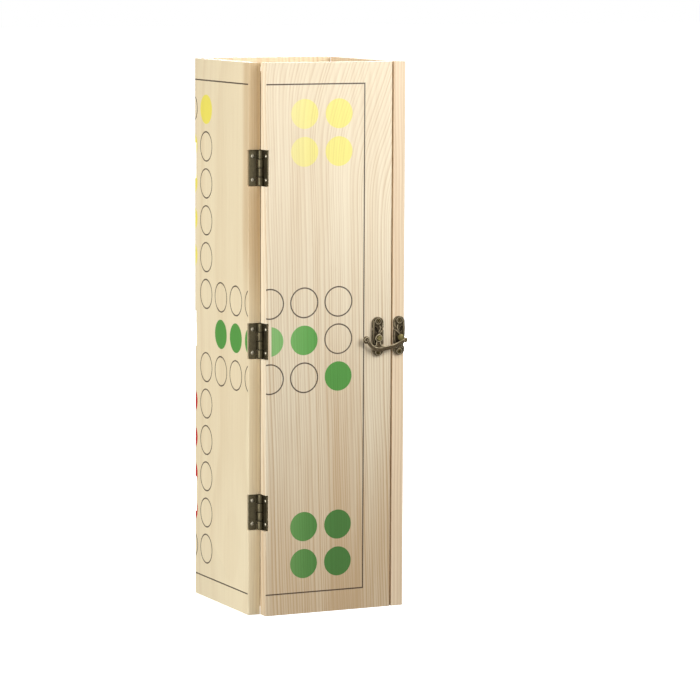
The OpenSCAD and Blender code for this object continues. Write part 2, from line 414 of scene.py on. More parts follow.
def add_node(tree, kind, options=None, **inputs):
    """Adds a shader node, sets its options and feeds its inputs."""
    node = tree.nodes.new(f"ShaderNode{kind}")
    for name, value in (options or {}).items():
        setattr(node, name, value)
    return fill(tree, node, **inputs)


def fields_of(tree, node):
    """The outputs of a node as fields."""
    return [Field(tree, socket) for socket in node.outputs]


def vector_of(tree, x, y, z):
    """A vector made of three fields."""
    return add_node(tree, "CombineXYZ", X=x, Y=y, Z=z).outputs[0]


def parts_of(tree, vector):
    """The three fields of a vector."""
    return fields_of(tree, add_node(tree, "SeparateXYZ", Vector=vector))


def noise(tree, vector, scale=1.0, detail=2.0, roughness=0.5):
    """Smooth noise from 0 to 1 over a vector."""
    node = add_node(
        tree, "TexNoise", Vector=vector, Scale=scale, Detail=detail, Roughness=roughness
    )
    return Field(tree, node.outputs["Fac"])


def mix(tree, amount, first, second, blend="MIX"):
    """A mix of two colours."""
    node = add_node(tree, "Mix", {"data_type": "RGBA", "blend_type": blend})
    for index, value in ((0, amount), (6, first), (7, second)):
        feed(tree, node.inputs[index], value)
    return node.outputs[2]


def tinted(colour, tint=(1, 1, 1)):
    """A colour with a tint, as a node takes it."""
    return (*(part * by for part, by in zip(colour, tint)), 1.0)


def mapped(tree, vector, location=(0, 0, 0), rotation=(0, 0, 0)):
    """A vector turned and then moved."""
    node = add_node(tree, "Mapping", Vector=vector, Location=location, Rotation=rotation)
    return node.outputs[0]


def bumped(tree, height, distance):
    """A normal from a height field."""
    return add_node(tree, "Bump", Strength=1.0, Distance=distance, Height=height).outputs[0]


def new_group(name, outputs, **inputs):
    """An empty node group and a field for each input. An input's name has _ for a space.

    An input whose default is None is a vector, and one whose default is a tuple a colour.
    """
    tree = bpy.data.node_groups.new(name, "ShaderNodeTree")
    for label, default in inputs.items():
        kind = {type(None): "Vector", tuple: "Color"}.get(type(default), "Float")
        socket = tree.interface.new_socket(
            label.replace("_", " "), in_out="INPUT", socket_type=f"NodeSocket{kind}"
        )
        if default is not None:
            socket.default_value = default
    for label in outputs:
        kind = "Color" if label == "Color" else "Float"
        tree.interface.new_socket(label, in_out="OUTPUT", socket_type=f"NodeSocket{kind}")
    given = zip(inputs, fields_of(tree, tree.nodes.new("NodeGroupInput")))
    return tree, SimpleNamespace(**dict(given)), tree.nodes.new("NodeGroupOutput")


def use_group(tree, group, **inputs):
    """Places a group in a material and gives its outputs as fields."""
    return fields_of(tree, add_node(tree, "Group", {"node_tree": group}, **inputs))


def new_material(name):
    """A material with a fresh Principled BSDF, its node tree and Object coordinates."""
    material = bpy.data.materials.new(name)
    material.use_nodes = True
    tree = material.node_tree
    tree.nodes.clear()
    shader = add_node(tree, "BsdfPrincipled")
    add_node(tree, "OutputMaterial", Surface=shader.outputs["BSDF"])
    coordinates = add_node(tree, "TexCoord").outputs["Object"]
    return material, tree, shader, coordinates


# ---- Wood ---------------------------------------------------------------------------

WHITE = (1.0, 1.0, 1.0, 1.0)


def grain_group():
    """Growth rings, fibres and slow colour changes of solid pine, with a painted shade at a board's
    foot.

    The vector is in metres: X across the board, Y into it and Z along the grain.
    """
    tree, given, out = new_group(
        "Pine Grain", ("Color", "Roughness", "Height"), Vector=None, Seed=0.0, Spacing=2.3 * MM,
        Pith_Across=0.0, Pith_Depth=0.08, Lean=0.0, Rise=0.0, Sweep=0.0, Sweep_Start=0.0,
        Contrast=1.0, Foot_Contrast=1.0, Tan_Band=0.0, Band_From=-0.01, Band_To=0.03,
        Band_Pale=0.03, Band_Full=-0.07, Tan_Foot=0.0, Foot_Shade=0.0, Tan_Edge=0.05,
        Early=WHITE, Late=WHITE,
    )
    across, depth, along = parts_of(tree, given.Vector)
    seed = given.Seed

    def streaks(wide, long, detail, shift=seed, rise=0.0):
        """Noise with so many cells in a metre across the grain and along it."""
        place = vector_of(tree, across * wide + shift, depth * wide, along * long + rise)
        return noise(tree, place, detail=detail)

    # The trunk's slow wander bends the rings a little along the board
    wander = (streaks(5, 6, 1, rise=seed) - 0.5) * 0.009
    tremor = (streaks(60, 14, 1) - 0.5) * 0.0013
    swept = (along + across - given.Sweep_Start).math("SMOOTH_MAX", 0.0, 0.04) * given.Sweep
    side = across - given.Pith_Across - along * given.Lean - swept + wander + tremor
    deep = depth - given.Pith_Depth - along * given.Rise + wander
    radius = (side * side + deep * deep).math("SQRT")
    # Each ring is pale at first, darkens towards its end, and is as strong as chance has it
    crowd = add_node(
        tree, "TexNoise", {"noise_dimensions": "1D"}, W=radius * 95 + seed, Scale=1.0,
        Detail=1.0, Roughness=0.5,
    )
    phase = radius / given.Spacing + Field(tree, crowd.outputs["Fac"]) * 2.4
    ring = phase.math("FLOOR")
    place = phase - ring
    chance = add_node(tree, "TexWhiteNoise", {"noise_dimensions": "1D"}, W=ring + seed * 7)
    strength = Field(tree, chance.outputs["Value"]).ramp(0, 1, 0.25, 1.0, "LINEAR")
    late = place.ramp(0.3, 0.86) * place.ramp(0.88, 1.0, 1.0, 0.0) * strength
    # Fibres run along the grain, with short resin canals among them
    fibre = streaks(1500, 26, 3, shift=0.0)
    band = streaks(260, 5, 2)
    cloud = streaks(22, 5, 2)
    canal = streaks(1100, 110, 1).ramp(0.66, 0.74) * 0.35
    contrast = given.Contrast * along.ramp(0.12, 0.0, 1.0, given.Foot_Contrast)
    warm = (late * 0.8 + (band - 0.5) + (cloud - 0.5) * 0.8 + canal * 0.5) * contrast
    warm = warm + (fibre - 0.5) * 0.22 + 0.12
    # A board may be tan in an upright band, at its foot and inside its edges
    drift = across + (cloud - 0.5) * 0.008
    rise, fall = drift - given.Band_From, drift - given.Band_To
    tan_band = rise.ramp(0.0, 0.006) * fall.ramp(0.0, -0.006) * given.Tan_Band
    warm = warm + tan_band * along.ramp(given.Band_Pale, given.Band_Full)
    warm = warm + along.ramp(-0.02, -0.2) * given.Tan_Foot
    warm = warm + depth.ramp(0.4 * MM, 2 * MM) * given.Tan_Edge
    base = mix(tree, warm.ramp(0, 1, kind="LINEAR"), given.Early, given.Late)
    # Fibres darken the wood a little, and Foot Shade darkens it evenly towards its foot as a painted
    # shade
    light = 1.0 - (fibre - 0.5).either(0.0) * 0.18 - along.ramp(0.12, -0.06) * given.Foot_Shade
    fill(
        tree, out, Color=mix(tree, 1.0, base, vector_of(tree, light, light, light), "MULTIPLY"),
        Roughness=0.46 + fibre * 0.16 - late * 0.05,
        Height=fibre * 0.6 - late * 0.5 - canal * 0.5,
    )
    return tree


def print_group():
    """The printed race game: a cross of open circles, coloured rows, homes and a border.

    The vector is in metres on the opened board: X across it, Z up, with 0 at its middle.
    """
    tree, given, out = new_group(
        "Board Print", ("Line", "Disc", "Color"), Vector=None, Left=-0.1, Right=0.1,
        Hinge_Margin=0.0, Side_Border=0.179,
    )
    pattern = settings().pattern
    across, depth, along = parts_of(tree, given.Vector)
    column_at, row_at = across / pattern.pitch, along / pattern.pitch
    column, row = column_at.math("ROUND"), row_at.math("ROUND")
    off_x, off_z = (column_at - column) * pattern.pitch, (row_at - row) * pattern.pitch
    distance = (off_x * off_x + off_z * off_z).math("SQRT")
    # How far the place lies from the middle lines of the cross
    wide, tall = abs(column), abs(row)
    least, most = wide.both(tall), wide.either(tall)
    path = (least.near(1) + least.near(0) * most.near(6)) * (most < 6.5)
    goal = least.near(0) * (most > 1.5) * (most < 5.5)
    home = (least > 4.5) * (most < 6.5)
    # The start places are the four that lie clockwise next to the tips of the cross
    start = least.near(1) * most.near(6) * ((column * row * (tall - wide)) > 0.0)
    filled = goal.either(home).either(start)
    ring = distance.near(pattern.circle, pattern.line / 2) * path * (1.0 - filled)
    disc = (distance < pattern.disc) * filled
    reach = (abs(across) - given.Side_Border).either(abs(along) - pattern.border)
    border = reach.near(0.0, pattern.line / 2)
    # Print is on the outer face only, and stops short of the edges and of the middle hinges
    beside_hinge = (abs(along) < 14 * MM) * given.Hinge_Margin
    inside = (across > given.Left + beside_hinge) * (across < given.Right)
    on_face = (depth < 0.2 * MM) * inside
    quarters = {
        "yellow": (row > 0.5) * (column > -0.5),
        "green": (column > 0.5) * (row < 0.5),
        "red": (row < -0.5) * (column < 0.5),
    }
    paint = tinted(pattern.blue)
    for name, where in quarters.items():
        paint = mix(tree, where, paint, tinted(getattr(pattern, name)))
    fill(tree, out, Line=ring.either(border) * on_face, Disc=disc * on_face, Color=paint)
    return tree


# How far a hinged board's end reaches towards its neighbour, past its plain CAD block
CORNER_REACH = 0.1 * MM
# The turn, in degrees, that brings each wall's outer face to the front
WALL_TURNS = {"front": 0, "left": 90, "back": 180, "right": -90}
# How each board was sawn, as values of the Pine Grain group, with the painted shade at the front
# wall's foot
SAWN = {
    "front": dict(
        Seed=3.7, Pith_Across=-0.22, Pith_Depth=0.09, Lean=-0.03, Rise=0.02, Sweep=0.3,
        Sweep_Start=0.142, Contrast=0.54, Foot_Contrast=1.55, Tan_Band=0.25, Band_From=-0.006,
        Band_To=0.029, Tan_Foot=0.5, Foot_Shade=0.09, Tan_Edge=-0.05,
    ),
    "left": dict(
        Seed=11.2, Pith_Across=0.02, Pith_Depth=-0.3, Contrast=0.22, Lean=0.01, Tan_Edge=0.16,
        Tan_Band=0.5, Band_From=0.036, Band_To=0.06, Band_Pale=0.0, Band_Full=0.08,
        Tan_Foot=-0.1,
    ),
    "back": dict(Seed=23.9, Pith_Across=0.04, Pith_Depth=0.09, Contrast=0.55, Rise=0.06),
    "right": dict(Seed=37.4, Pith_Across=-0.06, Pith_Depth=0.16, Contrast=0.5, Lean=0.02),
}
# How each board's wood differs in colour from the usual; the front wall's paler, cooler tone is a
# painted sheen
TONES = {
    "front": (1.02, 1.04, 1.07),
    "left": (0.965, 0.968, 0.905),
    "back": (1.0, 0.99, 0.96),
    "right": (1.0, 0.955, 0.945),
}
# Where the print's middle lies from the hinge between the left and back walls, and how far
# the front wall's own print is out of line with the rest
PRINT_FROM_HINGE = 5.9 * MM
FRONT_PRINT_SHIFT = 1.35 * MM
# How much of the wood the coloured and the black ink cover
INK_COVER = 0.97
LINE_COVER = 0.92
# How the print's colours differ on each board: their gamma at its left edge and in its upper half,
# where below 1 is paler and above 1 deeper, and how much light they keep at its foot. The paler print
# towards a left edge, most of all beside the front wall's hinge, is a painted sheen, and so is the
# front wall's upper print, which stays paler than on the left and back walls
PRINT_TONES = {
    "front": (0.5, 1.0, 0.66),
    "left": (1.0, 1.6, 1.0),
    "back": (0.92, 1.6, 1.0),
    "right": (0.95, 1.0, 1.0),
}
# The bare margins at each board's left and right edges
MARGINS = {
    "front": (0.1 * MM, 0.5 * MM),
    "left": (0.5 * MM, 0.9 * MM),
    "back": (0.5 * MM, 0.5 * MM),
    "right": (0.5 * MM, 0.5 * MM),
}
# The end boards, the play behind their tongues, the gap between their panels and the walls,
# how far short of the next wall a groove stops, and of its panel's corner a tongue
END_BOARDS = ("top_board", "bottom_board")
TONGUE_PLAY = 0.5 * MM
PANEL_GAP = 0.3 * MM
GROOVE_STOP = 7 * MM
TONGUE_STOP = 7.7 * MM
# How far a mortise reaches from its hinge's pin: along the board, past the board's end and out
# of the board's face
SEAT_REACH = 12 * MM
SEAT_END = 1 * MM
SEAT_OUT = 3 * MM


def board_view(side):
    """The turn and move that bring a wall to board coordinates, and its two edges there."""
    front_left, back_left, back_right = map(hinge_axis, CORNERS)
    shift = PRINT_FROM_HINGE + {
        "left": back_left.y,
        "front": back_left.y - front_left.y - front_left.x + FRONT_PRINT_SHIFT,
        "back": back_left.x,
        "right": back_left.x - back_right.x - back_right.y,
    }[side]
    angle = math.radians(WALL_TURNS[side])
    ends = [Matrix.Rotation(angle, 3, "Z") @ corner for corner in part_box(f"{side}_wall")]
    move = Vector((shift, -min(end.y for end in ends), -MIDDLE_Z))
    return angle, move, *sorted(end.x + shift for end in ends)


def wood_colours(tone=(1, 1, 1)):
    """The spacing and colours that a board gives the Pine Grain group."""
    boards = settings().boards
    early, late = tinted(boards.early, tone), tinted(boards.late, tone)
    return {"Spacing": boards.ring_spacing, "Early": early, "Late": late}


def printed_pine(side, grain, board_print):
    """Sanded pine with the board's print on its outer face."""
    material, tree, shader, coordinates = new_material(f"printed_pine_{side}")
    turn, move, left, right = board_view(side)
    place = mapped(tree, coordinates, move, (0, 0, turn))
    middle = mapped(tree, place, (-(left + right) / 2, 0, 0))
    wood, roughness, height = use_group(
        tree, grain, Vector=middle, **wood_colours(TONES[side]), **SAWN[side]
    )
    sizes = settings().pattern
    in_front = side == "front"
    line, disc, colour = use_group(
        tree, board_print, Vector=place, Left=left + MARGINS[side][0],
        Right=right - MARGINS[side][1], Hinge_Margin=sizes.hinge_margin if in_front else 0.0,
        Side_Border=sizes.front_border if in_front else sizes.border,
    )
    # The front wall's print is paler towards its hinge, a painted sheen, and darker at its foot
    across, _, along = parts_of(tree, place)
    edge_gamma, top_gamma, foot_light = PRINT_TONES[side]
    keep = along.ramp(-0.05, -0.13, 1.0, foot_light)
    deep = mix(tree, 1.0, colour, vector_of(tree, keep, keep, keep), "MULTIPLY")
    gamma = across.ramp(left, left + 0.055, edge_gamma, 1.0)
    gamma = gamma * along.ramp(0.04, 0.06, 1.0, top_gamma)
    print_with_painted_sheen = add_node(tree, "Gamma", Color=deep, Gamma=gamma).outputs[0]
    ink = mix(tree, 0.6, print_with_painted_sheen, mix(tree, 1.0, print_with_painted_sheen, wood, "MULTIPLY"))
    inked = mix(tree, disc * INK_COVER, wood, ink)
    printed = disc.either(line)
    fill(
        tree, shader, Base_Color=mix(tree, line * LINE_COVER, inked, tinted(sizes.ink)),
        Roughness=roughness - printed * 0.04,
        Normal=bumped(tree, height + printed * 0.3, 0.04 * MM), Specular_IOR_Level=0.45,
    )
    return material


def plain_pine(grain):
    """Unprinted pine, with its grain from left to right, for the end boards."""
    material, tree, shader, coordinates = new_material("plain_pine")
    place = mapped(tree, coordinates, rotation=(0, math.radians(-90), 0))
    wood, roughness, height = use_group(
        tree, grain, Vector=place, Seed=51.3, Pith_Across=0.22, Pith_Depth=0.03,
        Contrast=0.6, **wood_colours(),
    )
    fill(
        tree, shader, Base_Color=wood, Roughness=roughness,
        Normal=bumped(tree, height, 0.05 * MM), Specular_IOR_Level=0.35,
    )
    return material


def hinge_seat(corner, level, side, second):
    """Two opposite corners of the mortise that a hinge leaf needs in its wall."""
    matrix = corner_matrix(corner, level, second)
    low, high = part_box(f"{corner}_{level}_{side}_leaf")
    back = max(abs((matrix.inverted() @ end).y) for end in (low, high))
    rise = (high.z - low.z) / 2 + settings().boards.seat_play
    start = matrix @ Vector((-SEAT_REACH, -SEAT_OUT, -rise))
    return start, matrix @ Vector((SEAT_END, back, rise))


def groove_box(side, node):
    """Two opposite corners of a wall's groove for an end board."""
    boards = settings().boards
    start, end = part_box(f"{side}_wall")
    core_low, core_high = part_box(node)
    along = 1 if side in ("left", "right") else 0
    across = 1 - along
    # Which way the middle of the box lies from the wall
    inward = 1 if side in ("left", "front") else -1
    inner = end[across] if inward > 0 else start[across]
    far = end[along] + 1 * MM
    stop = boards.groove_depth - TONGUE_PLAY + GROOVE_STOP
    start[across] = inner - inward * boards.groove_depth
    end[across] = inner + inward * 1 * MM
    start[along] = core_low[along] + stop
    # The front wall's grooves run out at its free end
    end[along] = far if side == "front" else core_high[along] - stop
    start.z = core_low.z - boards.groove_play
    end.z = core_high.z + boards.groove_play
    return start, end


def build_wall(side):
    """One wall board with its rounded long edges, its mortises and its grooves."""
    low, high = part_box(f"{side}_wall")
    middle = (low + high) / 2
    reach = Vector((0, CORNER_REACH, 0) if side in ("left", "right") else (CORNER_REACH, 0, 0))
    # The front right corner, where the box opens, has no hinge to reach for
    start = low if side == "right" else low - reach
    end = high if side == "front" else high + reach
    wall = add_block(start, end)
    outward = Matrix.Rotation(-math.radians(WALL_TURNS[side]), 3, "Z") @ Vector((0, -1, 0))

    def is_outer(edge):
        return run_of(edge).z > 1 * MM and (edge.verts[0].co - middle).dot(outward) > 0

    bevel_edges(wall, settings().boards.edge_radius, 4, is_outer)
    tools = [add_block(*hinge_seat(*leaf)) for leaf in hinge_sides() if leaf[2] == side]
    tools += [add_block(*groove_box(side, node)) for node in END_BOARDS]
    return soften(combine(wall, join(tools)))


class BOTTLEBOX_OT_walls(bpy.types.Operator):
    """Build the four printed wall boards"""

    bl_idname = "bottle_box.walls"
    bl_label = "Walls"

    def execute(self, context):
        grain, board_print = grain_group(), print_group()
        for side in WALL_TURNS:
            wall = f"{side}_wall"
            material = printed_pine(side, grain, board_print)
            finish_piece(build_wall(side), f"{side}_board", wall, wall, material)
        return {"FINISHED"}


class BOTTLEBOX_OT_end_boards(bpy.types.Operator):
    """Build the top and bottom boards with their tongues"""

    bl_idname = "bottle_box.end_boards"
    bl_label = "End boards"

    def execute(self, context):
        material = plain_pine(bpy.data.node_groups["Pine Grain"])
        reach = settings().boards.groove_depth - TONGUE_PLAY + PANEL_GAP
        core = Vector((reach, reach, 0))
        stop = Vector((reach + TONGUE_STOP, 0, 0))
        for node in END_BOARDS:
            low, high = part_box(node)
            board = add_block(low + core, high - core)
            for step in (stop, stop.yxz):
                combine(board, add_block(low + step, high - step), "UNION")
            finish_piece(soften(board), f"{node}_panel", "back_wall", node, material)
        return {"FINISHED"}


# ---- Metal --------------------------------------------------------------------------

# The attribute that holds how sharply a casting curves, per mm: above 0 on its ridges
CURVE = "curve"
# Each bronze finish: how far its ridges are rubbed, its tint and the height of its grain
BRONZES = {
    "dark_bronze": (0.25, (0.95, 1.02, 1.05), 0.03 * MM),
    "bronze_fixings": (0.1, (0.34, 0.36, 0.34), 0.03 * MM),
    "cast_bronze": (0.42, (0.5, 0.47, 0.42), 0.05 * MM),
    "hook_bronze": (0.7, (0.6, 0.52, 0.45), 0.04 * MM),
    "stud_bronze": (0.4, (1.5, 1.6, 1.1), 0.02 * MM),
    "nail_bronze": (0.3, (0.95, 0.9, 0.6), 0.03 * MM),
}


def mark_curves(piece, passes=3):
    """Stores how far each vertex of a casting stands out from those round it."""
    mesh = bmesh.new()
    mesh.from_mesh(piece.data)
    near = [[edge.other_vert(vertex).index for edge in vertex.link_edges] for vertex in mesh.verts]
    spots = [vertex.co.copy() for vertex in mesh.verts]
    marks = []
    for vertex, others in zip(mesh.verts, near):
        middle = sum((spots[other] for other in others), Vector()) / len(others)
        reach = sum((spots[other] - vertex.co).length for other in others) / len(others)
        stand = (vertex.co - middle).dot(vertex.normal)
        marks.append(stand * MM / max(reach, RELIEF / 2) ** 2)
    for _ in range(passes):
        around = [sum(marks[other] for other in others) / len(others) for others in near]
        marks = [(mark + mean) / 2 for mark, mean in zip(marks, around)]
    mesh.free()
    layer = piece.data.attributes.new(CURVE, "FLOAT", "POINT")
    layer.data.foreach_set("value", marks)


def patina_group():
    """Aged bronze: rubbed bright on its edges, dark in its hollows, mottled in between."""
    tree, given, out = new_group(
        "Bronze Patina", ("Color", "Roughness", "Height"), Vector=None, Wear=0.6, Curve=0.0,
        Bronze=WHITE, Worn=WHITE, Grime=WHITE,
    )
    mottle = noise(tree, given.Vector, scale=900, detail=3, roughness=0.6)
    cloud = noise(tree, given.Vector, scale=230)
    speck = noise(tree, given.Vector, scale=3800)
    curve = given.Curve + (mottle - 0.5) * 0.16
    edge = curve.ramp(0.14, 0.46) * given.Wear
    hollow = curve.ramp(-0.04, -0.30)
    rubbed = (edge + mottle.ramp(0.58, 0.75) * 0.22 * given.Wear).both(1.0)
    dulled = mottle.ramp(0.3, 0.7) * 0.5 + cloud.ramp(0.35, 0.65) * 0.5
    base = mix(tree, dulled, given.Bronze, mix(tree, 0.55, given.Bronze, given.Grime))
    base = mix(tree, rubbed, base, given.Worn)
    fill(
        tree, out, Color=mix(tree, hollow * 0.8, base, given.Grime),
        Roughness=0.48 + (speck - 0.5) * 0.16 - edge * 0.10 + hollow * 0.25,
        Height=mottle * 0.6 + speck * 0.4,
    )
    return tree


def bronze(name):
    """One of the bronze finishes."""
    wear, tint, grain = BRONZES[name]
    material, tree, shader, coordinates = new_material(name)
    metal = settings().metal
    curve = add_node(tree, "Attribute", {"attribute_name": CURVE}).outputs["Fac"]
    colour, roughness, height = use_group(
        tree, bpy.data.node_groups.get("Bronze Patina") or patina_group(), Vector=coordinates,
        Wear=wear, Curve=curve, Bronze=tinted(metal.bronze, tint), Worn=tinted(metal.worn),
        Grime=tinted(metal.grime),
    )
    fill(
        tree, shader, Base_Color=colour, Roughness=roughness,
        Normal=bumped(tree, height, grain), Metallic=0.9,
    )
    return material


# ---- Hinges -------------------------------------------------------------------------

KNUCKLE_COUNT = 4
KNUCKLE_GAP = 0.15 * MM
KNUCKLE_RADIUS = 2.25 * MM
KNUCKLE_BORE = 0.95 * MM
KNUCKLE_ROUND = 0.4 * MM
LEAF_BACK = 2.4 * MM
LEAF_THICK = 0.9 * MM
LEAF_REACH = 8.05 * MM
LEAF_CORNER = 0.7 * MM
# How far a leaf stays clear of its barrel, and a knuckle's strap of the leaf's back
LEAF_CLEAR = 0.15 * MM
HINGE_HEIGHT = 25 * MM
PIN_RADIUS = 0.9 * MM
PIN_DOME = 0.2 * MM
SCREW_OUT = 5.225 * MM
SCREW_RISE = 8.3 * MM
SCREW_HOLE = 0.85 * MM
HEAD_RADIUS = 1.5 * MM
HEAD_HEIGHT = 0.8 * MM
HEAD_RIM = 0.12 * MM
SLOT_WIDTH = 0.34 * MM
SHANK_RADIUS = 0.8 * MM
SHANK_LENGTH = 8 * MM
THREAD_PITCH = 0.75 * MM
# The seam of a knuckle's roll: its width, its inner end, and how far it is turned from its
# leaf's side towards the front
SEAM_WIDTH = 0.4 * MM
SEAM_FROM = 1.55 * MM
SEAM_TURN = 25
# How far a knuckle's strap is thinner and narrower than its leaf and its knuckle
STRAP_INSET = Vector((0, 0.03 * MM, 0.05 * MM))


def knuckle(low_z, high_z):
    """A rolled knuckle with rounded ends and the open seam of its roll."""
    sides = settings().metal.knuckle_sides
    tube = add_rod((0, 0, low_z), (0, 0, high_z), KNUCKLE_RADIUS, sides)
    bevel_edges(tube, KNUCKLE_ROUND, 3, lambda edge: run_of(edge).z < 0.1 * MM)
    seam = add_block(
        (-3 * MM, -SEAM_WIDTH / 2, low_z - MM), (-SEAM_FROM, SEAM_WIDTH / 2, high_z + MM)
    )
    seam.rotation_euler.z = math.radians(SEAM_TURN)
    return combine(tube, settle(seam))


def leaf_master(first_knuckle):
    """A leaf to the -X side of the pin, with every second knuckle counted from the top."""
    half = HINGE_HEIGHT / 2
    pitch = HINGE_HEIGHT / KNUCKLE_COUNT
    front = LEAF_BACK - LEAF_THICK
    leaf = add_block((-LEAF_REACH, front, -half), (-KNUCKLE_RADIUS - LEAF_CLEAR, LEAF_BACK, half))

    def is_corner(edge):
        return edge.verts[0].co.x < 1 * MM - LEAF_REACH and run_of(edge).y > 0.1 * MM

    def is_sharp(edge):
        return edge.calc_face_angle(0) > math.radians(50)

    bevel_edges(leaf, LEAF_CORNER, 4, is_corner)
    bevel_edges(leaf, settings().metal.edge_round, 1, is_sharp)
    for index in range(first_knuckle, KNUCKLE_COUNT, 2):
        high = half - index * pitch - KNUCKLE_GAP / 2
        low = high - pitch + KNUCKLE_GAP
        strap = add_block(
            Vector((-KNUCKLE_RADIUS - 1 * MM, front, low)) + STRAP_INSET,
            Vector((0, LEAF_BACK - LEAF_CLEAR, high)) - STRAP_INSET,
        )
        combine(strap, knuckle(low, high), "UNION")
        combine(strap, add_rod((0, 0, low - MM), (0, 0, high + MM), KNUCKLE_BORE, 24))
        combine(leaf, strap, "UNION")
    for z in (-SCREW_RISE, SCREW_RISE):
        combine(leaf, add_rod((-SCREW_OUT, 0, z), (-SCREW_OUT, 4 * MM, z), SCREW_HOLE, 20))
    with editing(leaf):
        bpy.ops.mesh.dissolve_degenerate(threshold=0.001 * MM)
    return shade(leaf, 32)


def pin_master():
    """A hinge pin with lightly domed ends."""
    half, shoulder = HINGE_HEIGHT / 2, PIN_RADIUS * 0.6
    dome = [(0, half), (shoulder, half - PIN_DOME * 0.3), (PIN_RADIUS, half - PIN_DOME)]
    profile = [(out, -along) for out, along in dome] + dome[::-1]
    return shade(spin_profile(profile, steps=24, axis=(0, 0, 1)), 50)


def screw_master():
    """A round-headed cross screw that points to +Y, with its head's seat at Y = 0."""
    ball = (HEAD_RADIUS ** 2 + HEAD_HEIGHT ** 2) / (2 * HEAD_HEIGHT)
    profile = []
    for step in range(7):
        out = HEAD_RADIUS * step / 6
        rise = HEAD_HEIGHT - ball + math.sqrt(ball ** 2 - out ** 2)
        profile.append((out, -max(rise, HEAD_RIM)))
    profile += [(HEAD_RADIUS, 0), (SHANK_RADIUS, 0), (SHANK_RADIUS, LEAF_THICK)]
    root = SHANK_RADIUS * 0.78
    for turn in range(int(SHANK_LENGTH / THREAD_PITCH - 2)):
        start = LEAF_THICK + turn * THREAD_PITCH
        profile += [(root, start + THREAD_PITCH * share) for share in (0.35, 0.6)]
        profile.append((SHANK_RADIUS, start + THREAD_PITCH))
    tip = LEAF_THICK + SHANK_LENGTH
    screw = spin_profile([*profile, (root * 0.7, tip - 0.8 * MM), (0, tip)], steps=24)
    corner = Vector((HEAD_RADIUS * 0.62, -HEAD_HEIGHT * 0.42, SLOT_WIDTH / 2))
    for turn in (20, 110):
        bar = add_block(corner, (-corner.x, -HEAD_HEIGHT - MM, -corner.z))
        bar.rotation_euler.y = math.radians(turn)
        combine(screw, settle(bar))
    return shade(screw, 38)


class BOTTLEBOX_OT_hinge_leaves(bpy.types.Operator):
    """Build the two leaves of each of the nine hinges"""

    bl_idname = "bottle_box.hinge_leaves"
    bl_label = "Hinge leaves"

    def execute(self, context):
        material = bronze("dark_bronze")
        masters = (leaf_master(0), leaf_master(1))
        for corner, level, side, second in hinge_sides():
            node = f"{corner}_{level}_{side}_leaf"
            leaf = place_copy(masters[second], corner_matrix(corner, level, second))
            finish_piece(leaf, f"{node}_rolled", f"{side}_wall", node, material)
        for master in masters:
            bpy.data.objects.remove(master)
        return {"FINISHED"}


class BOTTLEBOX_OT_hinge_pins(bpy.types.Operator):
    """Build the nine hinge pins"""

    bl_idname = "bottle_box.hinge_pins"
    bl_label = "Hinge pins"

    def execute(self, context):
        material = bronze("bronze_fixings")
        master = pin_master()
        bodies = frame["record"]["behaviour"]["bodies"]
        for corner in CORNERS:
            for level in LEVELS:
                node = f"{corner}_{level}_pin"
                body = next(body for body, nodes in bodies.items() if node in nodes)
                pin = place_copy(master, corner_matrix(corner, level))
                finish_piece(pin, f"{node}_turned", body, node, material)
        bpy.data.objects.remove(master)
        return {"FINISHED"}


class BOTTLEBOX_OT_hinge_screws(bpy.types.Operator):
    """Build the cross-head screws that hold the hinge leaves"""

    bl_idname = "bottle_box.hinge_screws"
    bl_label = "Hinge screws"

    def execute(self, context):
        material = bpy.data.materials["bronze_fixings"]
        master = screw_master()
        groups = {}
        for corner, level, side, second in hinge_sides():
            for rise in (-SCREW_RISE, SCREW_RISE):
                seat = Matrix.Translation((-SCREW_OUT, LEAF_BACK - LEAF_THICK, rise))
                screw = place_copy(master, corner_matrix(corner, level, second) @ seat)
                groups.setdefault(side, []).append(screw)
        for side, screws in groups.items():
            wall = f"{side}_wall"
            name, node = f"{side}_hinge_screws", f"{wall}_screws"
            finish_piece(join(screws), name, wall, node, material)
        bpy.data.objects.remove(master)
        return {"FINISHED"}


# ---- Latch --------------------------------------------------------------------------

# Sizes and places of the latch are in mm until they are multiplied by MM
RELIEF = 0.13 * MM
PLATE_BASE = 1.5 * MM
PLATE_HALF = 4.3
NAIL_UP = 11.4
NAIL_DOWN = -10.9
# The half width, foot and head of the two slabs of a plate's blank
PLATE_SLABS = ((PLATE_HALF, -6, 10), (PLATE_HALF * 0.72, -9.2, -4.2))
# The ribs and folds of a plate: each one's radius, its relative widths and its middle line
PLATE_BARS = (
    # A rib down the plain side
    (0.8, (0.7, 1, 1.1, 1, 0.7), (
        (-3.2, -1.2, 11.5), (-3.6, -1.55, 8), (-3.5, -1.65, 3), (-3.4, -1.6, -1.5),
        (-2.8, -1.4, -5))),
    # The front and back edges of a leaf that folds across to the boss
    (0.62, (0.6, 1, 1.1, 1, 0.6), (
        (3.6, -1.3, 4.6), (2.6, -1.75, 4.4), (1.0, -1.8, 2.6), (-0.8, -1.75, 0.8),
        (-1.9, -1.55, -1.6))),
    (0.55, (0.6, 1, 1.1, 1, 0.6), (
        (1.0, -1.4, 8.4), (1.7, -1.65, 7.0), (1.6, -1.75, 5.4), (0.8, -1.7, 3.9),
        (-0.4, -1.5, 2.6))),
    # Two ribs down the other side
    (0.45, (0.7, 1, 1, 0.9, 0.6), (
        (3.5, -1.25, 10.2), (3.7, -1.5, 8.4), (3.4, -1.6, 7.0), (2.7, -1.5, 6.4),
        (2.0, -1.3, 6.2))),
    (0.45, (0.7, 1, 1, 1, 0.7), (
        (3.5, -1.3, 4.2), (3.7, -1.5, 2.2), (3.6, -1.55, -0.5), (3.5, -1.5, -3.0),
        (2.8, -1.35, -5.2))),
)
# The hollows of a plate: their middles as (x, z), their half sizes and their turn in degrees
PLATE_HOLLOWS = (((-1.3, 5.2), (1.15, 1.5, 2.7), -22), ((-1.4, -3.4), (1.0, 1.5, 1.5), 0))
